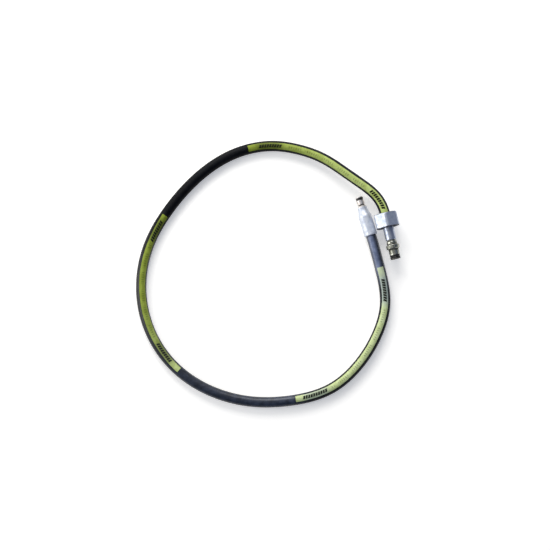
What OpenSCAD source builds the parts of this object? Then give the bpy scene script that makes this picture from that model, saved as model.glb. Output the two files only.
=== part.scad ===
// Hydraulic hose assembly: a rubber hose with a plug fitting on one end and a union fitting on the other.
// Row frame: the plug's tip is the origin, +Y runs out of the plug along its axis, +Z is up.

/* [Hose] */
// Outside diameter of the rubber cover
hose_d = 12.4; // [12:0.1:13]
// Outside diameter of the wire braid
braid_d = 10; // [9.4:0.1:10.4]
// Outside diameter of the inner tube
liner_d = 8.8; // [8.2:0.1:9]
// Bore of the inner tube
hose_bore = 6.4; // [6:0.1:6.8]

/* [Plug ferrule] */
// Outside diameter of the crimped sleeve
plug_sleeve_d = 15.8; // [15:0.1:17]
// Length of the full diameter, from the mouth to the shoulder
plug_sleeve_len = 25.2; // [22:0.2:28]
// Length of the conical shoulder
plug_cone_len = 4.2; // [3:0.2:6]
// Diameter of the narrow nose
plug_nose_d = 11.6; // [11.2:0.1:12.4]
// Length of the narrow nose
plug_nose_len = 5.6; // [5:0.1:7]

/* [Plug stem] */
// Length of the stem from the ferrule's nose to the tip
plug_reach = 12.6; // [11.5:0.1:16]
// Diameter of the collar against the nose
plug_collar_d = 10.9; // [10:0.1:11.2]
// Length of the collar against the nose
plug_collar_len = 1.6; // [1:0.1:2.4]
// Width of the clip groove next to the collar
clip_groove_w = 1.7; // [1:0.1:2]
// Diameter at the bottom of the clip groove
clip_groove_d = 7.2; // [6.8:0.1:7.8]
// Diameter of the spigot
plug_spigot_d = 8.7; // [8.4:0.1:9.2]
// Thickness of the O-ring
plug_ring_w = 1.6; // [1.4:0.1:1.7]

/* [Union ferrule] */
// Outside diameter of the crimped sleeve
union_sleeve_d = 12.7; // [12.5:0.1:13]
// Length of the sleeve
union_sleeve_len = 28.4; // [27:0.2:32]
// Wall of the sleeve's front lip around the stem
union_lip_wall = 1.6; // [1.4:0.1:1.9]

/* [Union stem] */
// Length of the relief groove in front of the sleeve
relief_len = 1.6; // [1:0.1:2.4]
// Diameter of the relief groove
relief_d = 10.2; // [9.6:0.1:11]
// Diameter of the shank
shank_d = 12.3; // [11.6:0.1:12.5]
// Length of the shank
shank_len = 4.2; // [3:0.1:6]
// Diameter of the collar that holds the nut
collar_d = 15.4; // [15:0.1:16]
// Length of the collar
collar_len = 5; // [4:0.1:6]
// Diameter of the spigot
union_spigot_d = 11.8; // [11.4:0.1:12.4]
// Length of the spigot
union_spigot_len = 11.9; // [10:0.1:14]
// Thickness of the O-ring
union_ring_w = 2; // [1.6:0.1:2.2]

/* [Stem tails] */
// Bore through both stems
stem_bore = 4; // [3.6:0.1:4.4]
// Diameter of the tail at the barbs' edges
barb_d = 6.7; // [6.5:0.1:6.9]
// Depth of a barb
barb_depth = 0.4; // [0.3:0.05:0.5]
// Distance from one barb to the next
barb_pitch = 3; // [2.5:0.25:4]
// Depth of a rib inside the sleeves
rib_depth = 0.3; // [0.2:0.05:0.4]
// Distance from one rib to the next
rib_pitch = 3.8; // [3.4:0.2:5]
// Diameter of the plug's stem where its sleeve closes on it
plug_stem_d = 8.2; // [8:0.1:8.3]
// Depth of the groove that locks a sleeve to its stem
lock_depth = 0.6; // [0.4:0.1:0.8]

/* [Union nut] */
// Width across flats
nut_flats = 27; // [26.5:0.1:27.2]
// Width across the rounded corners
nut_corners = 29.8; // [28.6:0.1:30]
// Length of the nut
nut_len = 17; // [16:0.2:19]
// Bore of the thread, before the thread itself
thread_bore = 20.4; // [20:0.1:21]
// Bore of the relief at the thread's inner end
thread_relief_d = 22.4; // [22.2:0.1:23]
// Diameter of the hole in the rear wall
rear_hole_d = 14.6; // [14:0.1:14.8]
// Thickness of the rear wall, up to the slip ring
rear_wall = 5; // [4:0.2:6]
// Turn of the hexagon from corner up, in degrees
nut_roll = 4; // [0:1:30]

/* [Slip ring] */
// Outside diameter
slip_d = 17.6; // [17:0.1:18.4]
// Thickness
slip_w = 1.6; // [1.2:0.1:2]
// Depth of its seat in the nut's shoulder
slip_seat = 0.8; // [0.5:0.1:1]

/* [Place of the union] */
// Nut's middle, to the right of the plug's axis
union_x = 21.8; // [21.8:0.1:24]
// Nut's middle, behind the plug's tip
union_y = 36.8; // [35:0.1:38]
// Nut's axis, above the plug's axis
union_z = 9.6; // [9.6:0.1:12]
// Angle at which the union's spigot closes in on the plug's hose
union_turn = 4; // [2:0.5:4]

/* [Fits] */
// Radial clearance of a running fit
run_gap = 0.05; // [0.02:0.01:0.08]
// Clearance of a piece that is shut in
seat_gap = 0.02; // [0.01:0.01:0.05]
// Space kept between the slip ring and the collar at the end of its travel
stop_gap = 0.3; // [0.2:0.1:0.5]

/* [Hidden] */
$fn = 96;

edge = 0.5;            // chamfer on turned edges
tip_edge = 0.4;        // chamfer at the tips of the spigots
slot_rest = 0.4;       // free width in an O-ring groove
backup_share = 0.6;    // width of a backup ring, as a share of its O-ring
squeeze = 0.15;        // how far an O-ring stands proud of its spigot
lock_w = 2.4;          // width of the groove that locks a sleeve to its stem
barb_rise = 0.75;      // sloping part of a barb, as a share of its pitch
barb_flat = 0.15;      // full part of a barb, as a share of its pitch
plug_step_drop = 1;    // how far the wide bore of the plug's sleeve ends behind its shoulder
plug_lock_inset = 1.2; // lock groove from the inner end of the plug's nose
union_lip_len = 6;     // length of the front lip of the union's sleeve
union_lock_inset = 1.6; // lock groove from the inner end of that lip
union_mouth_drop = 1;  // how far the union's sleeve reaches behind the slip ring at rest
beyond = 1;            // how far a cutting shape runs past the face that it cuts
hose_sides = 12;

// Plug: distances along its axis, measured back from the tip (z = 0 at the tip, z falls towards the hose)
plug_nose_z = -plug_reach;
plug_cone_z = plug_nose_z - plug_nose_len;
plug_full_z = plug_cone_z - plug_cone_len;
plug_mouth_z = plug_full_z - plug_sleeve_len;
plug_step_z = plug_full_z - plug_step_drop;
plug_lock_z = plug_cone_z + plug_lock_inset;
plug_collar_z = plug_nose_z + plug_collar_len;
plug_clip_z = plug_collar_z + clip_groove_w;
plug_land = 1.1;                       // spigot in front of the O-ring groove
plug_slot_z = -plug_land - slot_w(plug_ring_w);

// Union: distances along its axis from the nut's rear face at rest (z rises towards the spigot's tip)
union_mouth_z = rear_wall - union_mouth_drop;
union_front_z = union_mouth_z + union_sleeve_len;
union_shank_z = union_front_z + relief_len;
union_collar_z = union_shank_z + shank_len;
union_spigot_z = union_collar_z + collar_len;
union_tip_z = union_spigot_z + union_spigot_len;
union_step_z = union_front_z - union_lip_len;
union_lock_z = union_step_z + union_lock_inset;
union_stem_d = union_sleeve_d - 2 * union_lip_wall;
union_land = 1.2;                      // spigot in front of the O-ring groove
union_slot_z = union_tip_z - union_land - slot_w(union_ring_w);

// Hose ends and stem tails inside the sleeves
hose_end_gap = 1.2;
tail_inset = 2;
plug_tail_z = plug_mouth_z + tail_inset;
union_tail_z = union_mouth_z + tail_inset;
exit_lead = 4;         // straight hose in front of each mouth

// Frames of the two fittings
function union_dir() = [-sin(union_turn), -cos(union_turn), 0];
function union_at(z) = [union_x, -union_y, union_z] + (z - nut_len / 2) * union_dir();
function plug_at(z) = [0, z, 0];

module plug_frame() rotate([-90, 0, 0]) children();
module union_frame() translate(union_at(0)) rotate([90, 0, -union_turn]) children();

// Route of the hose from its end in the union's sleeve to its end in the plug's
hose_route = [
    union_at(union_step_z - hose_end_gap), union_at(union_mouth_z), union_at(union_mouth_z - exit_lead),
    [22.2, -19.3, 9.6], [20.4, -10.5, 9.4], [16.9, -1.9, 9.1], [12.4, 5.6, 8.7], [7.1, 13, 8.1],
    [1.2, 20.9, 7.3], [-7.8, 32.8, 6], [-20, 48.6, 3.8], [-33.3, 62.2, 1.8], [-50.3, 74.6, 0.2],
    [-76.9, 87.7, -1.3], [-127.1, 92.7, -1.7], [-175.2, 78.5, -1.7], [-217.6, 52.7, -1.7],
    [-253.4, 18.3, -1.7], [-276.2, -26.4, -1.7], [-281.2, -76, -1.7], [-267.6, -123.8, -1.7],
    [-237.2, -163.3, -1.7], [-194.9, -191, -1.7], [-147.1, -204.9, -1.7], [-96.8, -205, -1.7],
    [-60.4, -189, -1.7], [-29.6, -162.8, -1.7], [-8, -128.9, -1.7], [-1.5, -89.5, -1], [-0.5, -68, -0.2],
    plug_at(plug_mouth_z - exit_lead), plug_at(plug_mouth_z), plug_at(plug_step_z - hose_end_gap)];
long_leg = 30;         // a leg longer than this gets a ring at its middle

// The route with those middles, which lie on the smooth curve through the points
function smooth_route(p) = [
    for (i = [0 : len(p) - 2])
        each norm(p[i + 1] - p[i]) > long_leg
            ? [p[i], (9 * (p[i] + p[i + 1]) - p[i - 1] - p[i + 2]) / 16]
            : [p[i]],
    p[len(p) - 1]];

function unit(v) = v / norm(v);
function tangent(p, i) =
    i == 0 ? unit(p[1] - p[0]) :
    i == len(p) - 1 ? unit(p[i] - p[i - 1]) :
    unit(unit(p[i + 1] - p[i]) + unit(p[i] - p[i - 1]));
function ring(p, i, r) =
    let (t = tangent(p, i), side = unit(cross([0, 0, 1], t)), up = cross(t, side))
    [for (k = [0 : hose_sides - 1])
        let (a = 360 * k / hose_sides) p[i] + r * (cos(a) * side + sin(a) * up)];

// One layer of the hose along its route from the ring called first, with radii r_in and r_out
module hose_layer(first, r_in, r_out) {
    p = smooth_route(hose_route);
    n = hose_sides;
    rings = len(p) - first;
    inner = rings * n;
    last = inner - n;
    points = [for (r = [r_out, r_in]) for (i = [first : len(p) - 1]) each ring(p, i, r)];
    wall = [for (i = [0 : rings - 2]) for (k = [0 : n - 1])
        let (a = i * n + k, b = i * n + (k + 1) % n) each [[a, b, b + n], [a, b + n, a + n]]];
    bore = [for (f = wall) [f[0] + inner, f[2] + inner, f[1] + inner]];
    ends = [for (k = [0 : n - 1])
        let (j = (k + 1) % n) each [
            [k, inner + k, inner + j], [k, inner + j, j],
            [last + k, last + j, inner + last + j], [last + k, inner + last + j, inner + last + k]]];
    polyhedron(points, concat(wall, bore, ends));
}

// How many steps go into a length
function count_of(length, step) = floor(length / step);

// Half profile of a barbed tail that starts at z: each barb slopes up and ends in a step
function barbs(z, length) = [
    for (i = [0 : count_of(length, barb_pitch) - 1])
        let (start = z + i * barb_pitch, end = start + (barb_rise + barb_flat) * barb_pitch) each [
            [barb_d / 2 - barb_depth, start], [barb_d / 2, start + barb_rise * barb_pitch],
            [barb_d / 2, end], [barb_d / 2 - barb_depth, end]]];

// Half profile of the ribs in a bore of radius r, from its end at z back over its length
function ribs(r, z, length) = [
    for (i = [1 : count_of(length, rib_pitch) - 1])
        let (start = z - i * rib_pitch) each [
            [r, start], [r - rib_depth, start - rib_depth],
            [r - rib_depth, start - 3 * rib_depth], [r, start - 4 * rib_depth]]];

// Groove for an O-ring and its backup ring: its width, and the radius of its floor
function slot_w(w) = w * (1 + backup_share) + slot_rest;
function slot_r(spigot_d, w) = spigot_d / 2 + squeeze - w;

// O-ring of thickness w against the front side, z, of a groove with a floor of radius r
module o_ring(r, w, z) {
    translate([0, 0, z - w / 2 - seat_gap]) rotate_extrude()
        translate([r + seat_gap + w / 2, 0]) circle(d = w, $fn = 48);
}

// Backup ring against the back side, z, of the same groove
module backup_ring(r, spigot_d, w, z) {
    translate([0, 0, z + seat_gap]) difference() {
        cylinder(d = spigot_d, h = w * backup_share);
        translate([0, 0, -beyond]) cylinder(r = r + seat_gap, h = w * backup_share + 2 * beyond);
    }
}

// --- Hose ---

module hose_cover() {
    color([0.1, 0.1, 0.12]) hose_layer(1, braid_d / 2, hose_d / 2);
}

module hose_braid() {
    color([0.65, 0.65, 0.68]) hose_layer(0, liner_d / 2, braid_d / 2);
}

module hose_liner() {
    color([0.2, 0.2, 0.22]) hose_layer(0, hose_bore / 2, liner_d / 2);
}

// --- Plug ---

module plug_stem() {
    r_slot = slot_r(plug_spigot_d, plug_ring_w);
    color([0.66, 0.62, 0.52]) plug_frame() rotate_extrude()
        polygon(concat(
            [[stem_bore / 2, plug_tail_z]],
            barbs(plug_tail_z, plug_step_z - plug_tail_z),
            [[barb_d / 2 - barb_depth, plug_step_z], [plug_stem_d / 2, plug_step_z],
             [plug_stem_d / 2, plug_lock_z], [plug_stem_d / 2 - lock_depth, plug_lock_z],
             [plug_stem_d / 2 - lock_depth, plug_lock_z + lock_w], [plug_stem_d / 2, plug_lock_z + lock_w],
             [plug_stem_d / 2, plug_nose_z], [plug_collar_d / 2, plug_nose_z],
             [plug_collar_d / 2, plug_collar_z - edge], [plug_collar_d / 2 - edge, plug_collar_z],
             [clip_groove_d / 2, plug_collar_z], [clip_groove_d / 2, plug_clip_z],
             [plug_spigot_d / 2 - edge / 2, plug_clip_z], [plug_spigot_d / 2, plug_clip_z + edge / 2],
             [plug_spigot_d / 2, plug_slot_z], [r_slot, plug_slot_z],
             [r_slot, -plug_land], [plug_spigot_d / 2, -plug_land],
             [plug_spigot_d / 2, -tip_edge], [plug_spigot_d / 2 - tip_edge, 0],
             [stem_bore / 2 + edge, 0], [stem_bore / 2, -edge]]));
}

module plug_ferrule() {
    lip_r = plug_stem_d / 2 + seat_gap;
    color([0.8, 0.82, 0.86]) plug_frame() rotate_extrude()
        polygon(concat(
            [[hose_d / 2, plug_mouth_z], [plug_sleeve_d / 2 - edge, plug_mouth_z],
             [plug_sleeve_d / 2, plug_mouth_z + edge],
             [plug_sleeve_d / 2, plug_full_z], [plug_nose_d / 2, plug_cone_z],
             [plug_nose_d / 2, plug_nose_z - edge / 2], [plug_nose_d / 2 - edge / 2, plug_nose_z],
             [lip_r, plug_nose_z],
             [lip_r, plug_lock_z + lock_w - seat_gap],
             [lip_r - lock_depth, plug_lock_z + lock_w - seat_gap],
             [lip_r - lock_depth, plug_lock_z + seat_gap],
             [lip_r, plug_lock_z + seat_gap],
             [lip_r, plug_step_z], [hose_d / 2, plug_step_z]],
            ribs(hose_d / 2, plug_step_z, plug_step_z - plug_mouth_z)));
}

module plug_o_ring() {
    color([0.05, 0.05, 0.06]) plug_frame()
        o_ring(slot_r(plug_spigot_d, plug_ring_w), plug_ring_w, -plug_land);
}

module plug_backup_ring() {
    color([0.12, 0.12, 0.12]) plug_frame()
        backup_ring(slot_r(plug_spigot_d, plug_ring_w), plug_spigot_d, plug_ring_w, plug_slot_z);
}

// --- Union ---

module union_stem() {
    r_slot = slot_r(union_spigot_d, union_ring_w);
    color([0.62, 0.58, 0.46]) union_frame() rotate_extrude()
        polygon(concat(
            [[stem_bore / 2, union_tail_z]],
            barbs(union_tail_z, union_step_z - union_tail_z),
            [[barb_d / 2 - barb_depth, union_step_z], [union_stem_d / 2, union_step_z],
             [union_stem_d / 2, union_lock_z], [union_stem_d / 2 - lock_depth, union_lock_z],
             [union_stem_d / 2 - lock_depth, union_lock_z + lock_w],
             [union_stem_d / 2, union_lock_z + lock_w],
             [union_stem_d / 2, union_front_z], [relief_d / 2, union_front_z],
             [relief_d / 2, union_shank_z], [shank_d / 2 - edge / 2, union_shank_z],
             [shank_d / 2, union_shank_z + edge / 2], [shank_d / 2, union_collar_z],
             [collar_d / 2 - edge / 2, union_collar_z], [collar_d / 2, union_collar_z + edge / 2],
             [collar_d / 2, union_spigot_z - 2 * edge], [collar_d / 2 - 2 * edge, union_spigot_z],
             [union_spigot_d / 2, union_spigot_z],
             [union_spigot_d / 2, union_slot_z], [r_slot, union_slot_z],
             [r_slot, union_tip_z - union_land], [union_spigot_d / 2, union_tip_z - union_land],
             [union_spigot_d / 2, union_tip_z - tip_edge], [union_spigot_d / 2 - tip_edge, union_tip_z],
             [stem_bore / 2 + 2 * edge, union_tip_z], [stem_bore / 2, union_tip_z - 2 * edge]]));
}

module union_ferrule() {
    lip_r = union_stem_d / 2 + seat_gap;
    color([0.78, 0.81, 0.86]) union_frame() rotate_extrude()
        polygon(concat(
            [[braid_d / 2, union_mouth_z], [union_sleeve_d / 2 - edge, union_mouth_z],
             [union_sleeve_d / 2, union_mouth_z + edge],
             [union_sleeve_d / 2, union_front_z - edge], [union_sleeve_d / 2 - edge, union_front_z],
             [lip_r, union_front_z],
             [lip_r, union_lock_z + lock_w - seat_gap],
             [lip_r - lock_depth, union_lock_z + lock_w - seat_gap],
             [lip_r - lock_depth, union_lock_z + seat_gap],
             [lip_r, union_lock_z + seat_gap],
             [lip_r, union_step_z], [braid_d / 2, union_step_z]],
            ribs(braid_d / 2, union_step_z, union_step_z - union_mouth_z)));
}

module union_o_ring() {
    color([0.05, 0.05, 0.06]) union_frame()
        o_ring(slot_r(union_spigot_d, union_ring_w), union_ring_w, union_tip_z - union_land);
}

module union_backup_ring() {
    color([0.12, 0.12, 0.12]) union_frame()
        backup_ring(slot_r(union_spigot_d, union_ring_w), union_spigot_d, union_ring_w, union_slot_z);
}

module union_slip_ring() {
    color([0.75, 0.66, 0.4]) union_frame() translate([0, 0, rear_wall]) difference() {
        cylinder(d = slip_d, h = slip_w);
        translate([0, 0, -beyond]) cylinder(d = union_sleeve_d + 2 * run_gap, h = slip_w + 2 * beyond);
    }
}

// Hexagon with rounded corners, turned down to a narrower face at both ends
module nut_blank() {
    corner_r = nut_corners / 2;
    face_r = nut_flats / 2 - 0.4;
    fall = (corner_r - face_r) * tan(30);
    intersection() {
        cylinder(d = nut_flats / cos(30), h = nut_len, $fn = 6);
        rotate_extrude() polygon([
            [0, 0], [face_r, 0], [corner_r, fall],
            [corner_r, nut_len - fall], [face_r, nut_len], [0, nut_len]]);
    }
}

module union_nut() {
    shoulder_z = rear_wall + slip_seat;
    relief_w = 2;
    color([0.82, 0.84, 0.9]) union_frame() difference() {
        rotate([0, 0, 30 + nut_roll]) nut_blank();
        rotate_extrude() polygon([
            [0, -beyond], [rear_hole_d / 2 + edge + beyond, -beyond], [rear_hole_d / 2, edge],
            [rear_hole_d / 2, rear_wall - seat_gap], [slip_d / 2 + run_gap, rear_wall - seat_gap],
            [slip_d / 2 + run_gap, shoulder_z], [thread_relief_d / 2, shoulder_z],
            [thread_relief_d / 2, shoulder_z + relief_w], [thread_bore / 2, shoulder_z + relief_w],
            [thread_bore / 2, nut_len - 2 * edge], [thread_bore / 2 + 2 * edge + beyond, nut_len + beyond],
            [0, nut_len + beyond]]);
    }
}

hose_cover();
hose_braid();
hose_liner();
plug_ferrule();
plug_stem();
plug_o_ring();
plug_backup_ring();
union_ferrule();
union_stem();
union_o_ring();
union_backup_ring();
union_slip_ring();
union_nut();
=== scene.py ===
# %% [markdown]
# # Dressing a hydraulic hose assembly
#
# The assembly is one length of rubber hose, lying in a loop, with a steel fitting crimped on each
# end. One fitting is a plug. The other is a union, with a hexagon nut that slides and turns on it.
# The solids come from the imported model, and this lesson gives them their looks: a smooth hose with
# a painted line, plated and tarnished steel, rubber seals, and a real thread inside the nut.
# Everything is in metres and stays where the solids are.

# %% Load the solids
import math

import bpy
import numpy as np
from mathutils import Matrix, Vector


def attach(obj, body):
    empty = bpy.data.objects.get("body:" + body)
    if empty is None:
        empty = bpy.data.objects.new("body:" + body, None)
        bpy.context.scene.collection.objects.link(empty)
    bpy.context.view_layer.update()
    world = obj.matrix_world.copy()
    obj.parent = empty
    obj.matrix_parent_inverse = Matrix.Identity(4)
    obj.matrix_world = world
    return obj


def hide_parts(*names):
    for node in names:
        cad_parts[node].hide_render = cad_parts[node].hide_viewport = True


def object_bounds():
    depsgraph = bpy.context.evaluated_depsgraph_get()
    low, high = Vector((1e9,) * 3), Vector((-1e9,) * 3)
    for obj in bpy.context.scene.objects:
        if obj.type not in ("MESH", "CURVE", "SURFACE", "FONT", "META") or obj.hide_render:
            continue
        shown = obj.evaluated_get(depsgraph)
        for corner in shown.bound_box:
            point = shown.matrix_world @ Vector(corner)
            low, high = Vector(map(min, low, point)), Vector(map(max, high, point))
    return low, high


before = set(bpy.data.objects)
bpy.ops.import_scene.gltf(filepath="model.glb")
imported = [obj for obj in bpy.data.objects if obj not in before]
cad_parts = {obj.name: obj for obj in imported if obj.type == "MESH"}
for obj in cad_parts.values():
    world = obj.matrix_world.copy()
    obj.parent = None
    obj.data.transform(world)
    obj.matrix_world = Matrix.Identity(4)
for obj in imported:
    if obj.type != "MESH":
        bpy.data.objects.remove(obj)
cad_box = [list(corner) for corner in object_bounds()]
MM = 0.001
FLOOR_Z = cad_box[0][2]
print("solids' box in mm:", np.round(np.array(cad_box) / MM, 1).tolist())

# %% [markdown]
# ## The camera
#
# The hose lies flat, so it is looked at almost straight down. A camera is placed by a matrix: its
# columns are the picture's right, the picture's up, and the way back to the camera. The lens follows
# from how wide a strip of floor the picture shows at that distance.

# %% Camera
VIEW_CENTRE = np.array([-0.1217, -0.0590, 0.0])
PICTURE_WIDTH = 0.646
DISTANCE = 1.8
ROLL = math.radians(17.1)
TILT = math.radians(5)

picture_right = np.array([math.cos(ROLL), -math.sin(ROLL), 0.0])
picture_up = np.array([math.sin(ROLL), math.cos(ROLL), 0.0])
straight_up = np.array([0.0, 0.0, 1.0])
back = math.cos(TILT) * straight_up - math.sin(TILT) * picture_up
camera_up = math.cos(TILT) * picture_up + math.sin(TILT) * straight_up


def put_in_scene(name, data, axes=np.eye(3), position=(0, 0, 0)):
    """A new object. The columns of its matrix are its own three axes, and then its position."""
    made = bpy.data.objects.new(name, data)
    bpy.context.scene.collection.objects.link(made)
    matrix = np.eye(4)
    matrix[:3, :3] = np.transpose(axes)
    matrix[:3, 3] = position
    made.matrix_world = Matrix(matrix.tolist())
    return made


camera_data = bpy.data.cameras.new("camera")
camera_data.sensor_width = 36
camera_data.lens = camera_data.sensor_width * DISTANCE / PICTURE_WIDTH
camera = put_in_scene("camera", camera_data, axes=(picture_right, camera_up, back),
                      position=VIEW_CENTRE + DISTANCE * back)
bpy.context.scene.camera = camera
bpy.context.scene.view_settings.view_transform = "Standard"

# %% [markdown]
# ## The hose's route
#
# A hose is stiff, so it lies in one smooth curve. The route is a short list of points that the curve
# has to pass through, the same ones that the solids follow. A natural spline is the curve that a thin
# strip of wood takes when it is held at those points: on each leg it is a cubic, and slope and
# curvature run on from leg to leg.

# %% Route points
UNION_CENTRE = np.array([21.8, -36.8, 9.6]) * MM
UNION_TURN = math.radians(4)
UNION_DIR = np.array([-math.sin(UNION_TURN), -math.cos(UNION_TURN), 0.0])
NUT_LEN = 17 * MM
UNION_MOUTH, UNION_HOSE_END = 4 * MM, 25.2 * MM
PLUG_MOUTH, PLUG_HOSE_END = -47.6 * MM, -24.6 * MM
EXIT_LEAD = 4 * MM


def union_at(along):
    """A point on the union's axis: its distance from the nut's rear face, out along the axis."""
    return UNION_CENTRE + (along - NUT_LEN / 2) * UNION_DIR


def plug_at(along):
    """A point on the plug's axis, which is the Y axis with the plug's tip at 0."""
    return np.array([0.0, along, 0.0])


free_route = np.array([
    [22.2, -19.3, 9.6], [20.4, -10.5, 9.4], [16.9, -1.9, 9.1], [12.4, 5.6, 8.7], [7.1, 13, 8.1],
    [1.2, 20.9, 7.3], [-7.8, 32.8, 6], [-20, 48.6, 3.8], [-33.3, 62.2, 1.8], [-50.3, 74.6, 0.2],
    [-76.9, 87.7, -1.3], [-127.1, 92.7, -1.7], [-175.2, 78.5, -1.7], [-217.6, 52.7, -1.7],
    [-253.4, 18.3, -1.7], [-276.2, -26.4, -1.7], [-281.2, -76, -1.7], [-267.6, -123.8, -1.7],
    [-237.2, -163.3, -1.7], [-194.9, -191, -1.7], [-147.1, -204.9, -1.7], [-96.8, -205, -1.7],
    [-60.4, -189, -1.7], [-29.6, -162.8, -1.7], [-8, -128.9, -1.7], [-1.5, -89.5, -1],
    [-0.5, -68, -0.2]]) * MM
route = np.vstack([
    union_at(UNION_HOSE_END), union_at(UNION_MOUTH), union_at(UNION_MOUTH - EXIT_LEAD),
    free_route,
    plug_at(PLUG_MOUTH - EXIT_LEAD), plug_at(PLUG_MOUTH), plug_at(PLUG_HOSE_END)])

# %% The smooth curve through the route
HOSE_D, BRAID_D, LINER_D, HOSE_BORE = 12.4 * MM, 10 * MM, 8.8 * MM, 6.4 * MM
FINE_POINTS, HOSE_STEP = 6000, 0.5 * MM


def natural_spline(knots, values, at):
    """Values at `at` of the smoothest curve through (knots, values). On each leg it is a cubic, and
    the second derivatives m at the knots solve h0*m0 + 2*(h0 + h1)*m1 + h1*m2 = 6*(slope1 - slope0)."""
    h = np.diff(knots)
    count = len(knots)
    slope = np.diff(values, axis=0) / h[:, None]
    matrix = np.eye(count)
    inner = np.arange(1, count - 1)
    matrix[inner, inner - 1] = h[:-1]
    matrix[inner, inner] = 2 * (h[:-1] + h[1:])
    matrix[inner, inner + 1] = h[1:]
    right_side = np.zeros_like(values)
    right_side[1:-1] = 6 * np.diff(slope, axis=0)
    m = np.linalg.solve(matrix, right_side)
    leg = np.clip(np.searchsorted(knots, at, side="right") - 1, 0, count - 2)
    s, width = (at - knots[leg])[:, None], h[leg][:, None]
    return (values[leg] + s * (slope[leg] - width * (2 * m[leg] + m[leg + 1]) / 6)
            + s ** 2 * m[leg] / 2 + s ** 3 * (m[leg + 1] - m[leg]) / (6 * width))


def length_along(line):
    """Distance from the line's start to each of its points."""
    return np.concatenate([[0], np.cumsum(np.linalg.norm(np.diff(line, axis=0), axis=1))])


def hose_line(spacing):
    """The hose's centreline in even steps: the spline, lifted where it would dip under the floor, with
    each point's distance from the union's mouth."""
    knots = length_along(route)
    fine = natural_spline(knots, route, np.linspace(0, knots[-1], FINE_POINTS))
    fine[:, 2] = np.maximum(fine[:, 2], FLOOR_Z + HOSE_D / 2)
    run = length_along(fine)
    even = np.linspace(0, run[-1], int(run[-1] / spacing) + 1)
    line = np.stack([np.interp(even, run, fine[:, k]) for k in range(3)], axis=1)
    return line, even - (UNION_HOSE_END - UNION_MOUTH)


centre_line, along_hose = hose_line(HOSE_STEP)

# %% [markdown]
# ## Surfaces from grids
#
# Every piece here is a grid of points that closes on itself both ways, like a car's inner tube. A
# turned part is a closed half profile carried round an axis, and a hose layer is rings of points, out
# along its outer wall and back along its inner wall. So one helper turns any such grid into a mesh.
# It also stores two attributes: how sharply each point stands out from its neighbours, because a hand
# or a spanner rubs there, and how deep it lies beside a shoulder, which the metal finishes darken as
# painted shade.

# %% Grid helper
SHORTEST_REACH = 0.02 * MM
SOFT_BEND, HARD_BEND = 500, 2500
slots = {}


def unit(vectors):
    """Vectors scaled to length 1."""
    return vectors / np.maximum(np.linalg.norm(vectors, axis=-1, keepdims=True), 1e-12)


def turning(points, axis):
    """Change of direction at each point along one side of the grid, per metre of surface."""
    ahead = np.roll(points, -1, axis) - points
    behind = points - np.roll(points, 1, axis)
    reach = (np.linalg.norm(ahead, axis=2) + np.linalg.norm(behind, axis=2)) / 2
    return (unit(ahead) - unit(behind)) / np.maximum(reach, SHORTEST_REACH)[..., None]


def sharpness(points, normals):
    """How edge-like each point is, from 0 up to a 2 mm radius (SOFT_BEND a metre) to 1 from a 0.4 mm
    radius (HARD_BEND): the outward turning, the larger of both ways, spread over the neighbours."""
    bend = np.maximum(-(turning(points, 0) * normals).sum(2), -(turning(points, 1) * normals).sum(2))
    edge = np.clip((bend - SOFT_BEND) / (HARD_BEND - SOFT_BEND), 0, 1)
    for axis in (0, 1):
        edge = (np.roll(edge, 1, axis) + 2 * edge + np.roll(edge, -1, axis)) / 4
    return edge


def grid_piece(name, points, u, v, slot, body, node, hollow=0.0):
    """Makes a piece from points[row, column], closed both ways. u and v give the UV at each corner and
    have one more row and column than the points. hollow is stored beside the sharpness. The sign of
    the volume, a sum over the faces of centre * (diagonal x diagonal) / 6, says which way round the
    faces go."""
    rows, columns = points.shape[:2]
    i, j = np.meshgrid(np.arange(rows), np.arange(columns), indexing="ij")
    corner_rows = np.stack([i, i, i + 1, i + 1], axis=-1)
    corner_columns = np.stack([j, j + 1, j + 1, j], axis=-1)
    index = (corner_rows % rows) * columns + corner_columns % columns
    flat = points.reshape(-1, 3)
    a, b, c, d = (flat[index[..., k]] for k in range(4))
    crossed = np.cross(c - a, d - b)
    volume = (((a + b + c + d) / 4) * crossed).sum() / 6
    if volume < 0:
        index, crossed = index[..., ::-1], -crossed
        corner_rows, corner_columns = corner_rows[..., ::-1], corner_columns[..., ::-1]
    around = crossed + np.roll(crossed, 1, 0)
    normals = unit(around + np.roll(around, 1, 1))

    mesh = bpy.data.meshes.new(name)
    mesh.from_pydata(flat, [], index.reshape(-1, 4))
    layer = mesh.uv_layers.new(name="surface")
    uv = np.stack([u[corner_rows, corner_columns], v[corner_rows, corner_columns]], axis=-1)
    layer.data.foreach_set("uv", uv.reshape(-1))
    for label, value in (("edge", sharpness(points, normals)), ("hollow", hollow + 0 * points[..., 0])):
        mesh.attributes.new(label, "FLOAT", "POINT").data.foreach_set("value", value.reshape(-1))
    mesh.shade_smooth()
    piece = put_in_scene(name, mesh)
    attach(piece, body)
    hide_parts(node)
    slots[piece] = slot
    print(f"{name}: {2 * rows * columns} triangles, {abs(volume) / MM ** 3:.0f} mm3")
    return piece


# %% [markdown]
# ## The hose
#
# The real hose has three layers: a rubber tube that holds the fluid, a sleeve of plaited wire that
# takes the pressure, and a rubber cover. The cover is cured under a tight wrap of wet cloth, and the
# cloth leaves a fine rib across the hose, slightly on the slant. The rib is real shape here, a few
# hundredths of a millimetre deep. The painted line needs to know how far round the hose a point lies
# from the middle of the line, so that angle goes into the UV, with the distance along the hose.

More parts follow.
